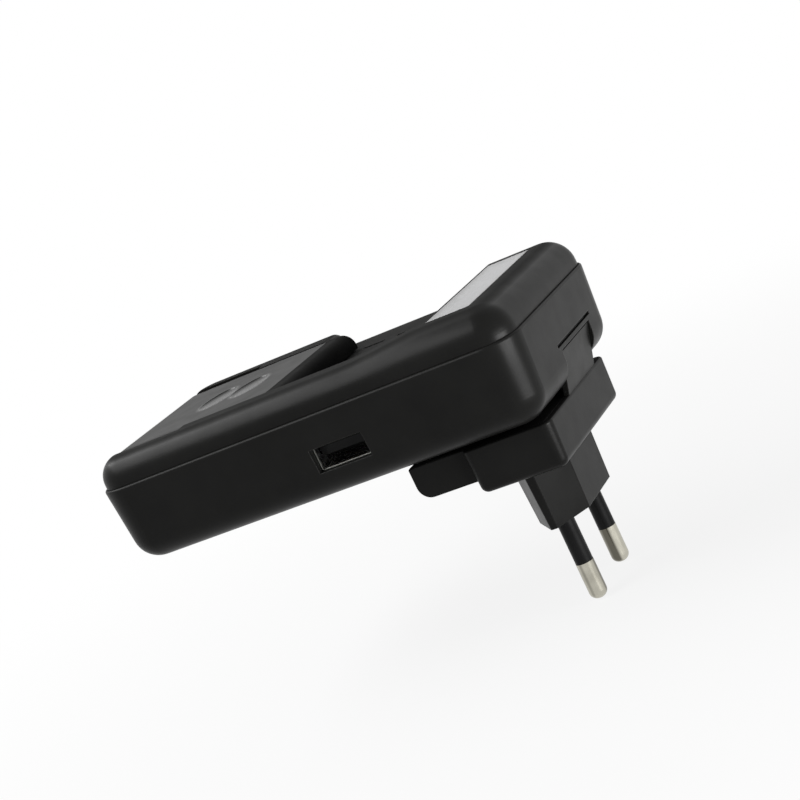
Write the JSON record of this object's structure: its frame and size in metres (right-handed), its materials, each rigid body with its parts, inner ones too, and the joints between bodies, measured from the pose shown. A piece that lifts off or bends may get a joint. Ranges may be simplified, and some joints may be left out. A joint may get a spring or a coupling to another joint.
{
  "type": "plug-in battery charger",
  "caption": "Black plug-in charger for flat phone and camera batteries: open bay with a sprung sliding clamp and sliding contacts, display window, USB socket and push-on two-pin plug adapter.",
  "frame": {"origin": "midway between the two round plug pins, on the face of the plug nose that meets the socket", "axes": "+Z along the pins, away from the socket and towards the battery side; +X towards the display end; -Y towards the side with the USB socket"},
  "size_m": [0.1034, 0.0594, 0.0692],
  "materials": {
    "black_housing": "fine-grained black moulded plastic",
    "black_insulator": "smooth black moulded plastic",
    "jaw_rubber": "dull black soft rubber",
    "display_clear": "clear polished window",
    "display_grey": "pale grey liquid-crystal panel",
    "rubber_strip": "grey layered elastomer",
    "bright_steel": "bright plated steel",
    "contact_brass": "plated brass strip",
    "pin_nickel": "satin nickel plate",
    "board_green": "green solder mask",
    "ferrite": "ground dark ferrite",
    "coil_tape": "yellow winding tape",
    "can_sleeve": "dark shrink sleeve"
  },
  "bodies": {
    "housing": {"bottom_cover": "black_housing", "top_cover": "black_housing", "display_window": "display_clear", "display_panel": "display_grey", "display_connector": "rubber_strip", "clamp_spring": "bright_steel", "contact_rail_near": "contact_brass", "contact_rail_far": "contact_brass", "circuit_board": "board_green", "controller_chip": "black_insulator", "transformer_core": "ferrite", "transformer_coil": "coil_tape", "input_capacitor": "can_sleeve", "output_capacitor": "can_sleeve", "fuse_resistor": "black_insulator", "usb_shell": "bright_steel", "usb_tongue": "black_insulator", "usb_contacts": "contact_brass", "case_screws": "bright_steel", "blade_carrier": "black_insulator", "blade_near": "contact_brass", "blade_far": "contact_brass", "mains_terminal_near": "contact_brass", "mains_terminal_far": "contact_brass", "adapter_body": "black_housing", "adapter_lid": "black_housing", "pin_near": "pin_nickel", "pin_far": "pin_nickel", "pin_sleeve_near": "black_insulator", "pin_sleeve_far": "black_insulator", "adapter_clip_near": "contact_brass", "adapter_clip_far": "contact_brass"},
    "clamp": {"clamp_plate": "black_housing", "clamp_jaw": "jaw_rubber", "clamp_retainer": "black_insulator", "clamp_screw": "bright_steel"},
    "contact_near": {"contact_slider_near": "black_insulator", "contact_finger_near": "contact_brass"},
    "contact_far": {"contact_slider_far": "black_insulator", "contact_finger_far": "contact_brass"}
  },
  "joints": [
    {"name": "clamp_slide", "type": "slide", "parent": "housing", "child": "clamp", "axis": [-1, 0, 0], "range_m": [0, 0.025], "stiffness_N_per_m": 60, "springref_m": -0.012, "deforming": ["clamp_spring"]},
    {"name": "contact_near_slide", "type": "slide", "parent": "housing", "child": "contact_near", "axis": [0, 1, 0], "range_m": [-0.0045, 0.0045]},
    {"name": "contact_far_slide", "type": "slide", "parent": "housing", "child": "contact_far", "axis": [0, 1, 0], "range_m": [-0.0045, 0.0045]}
  ]
}
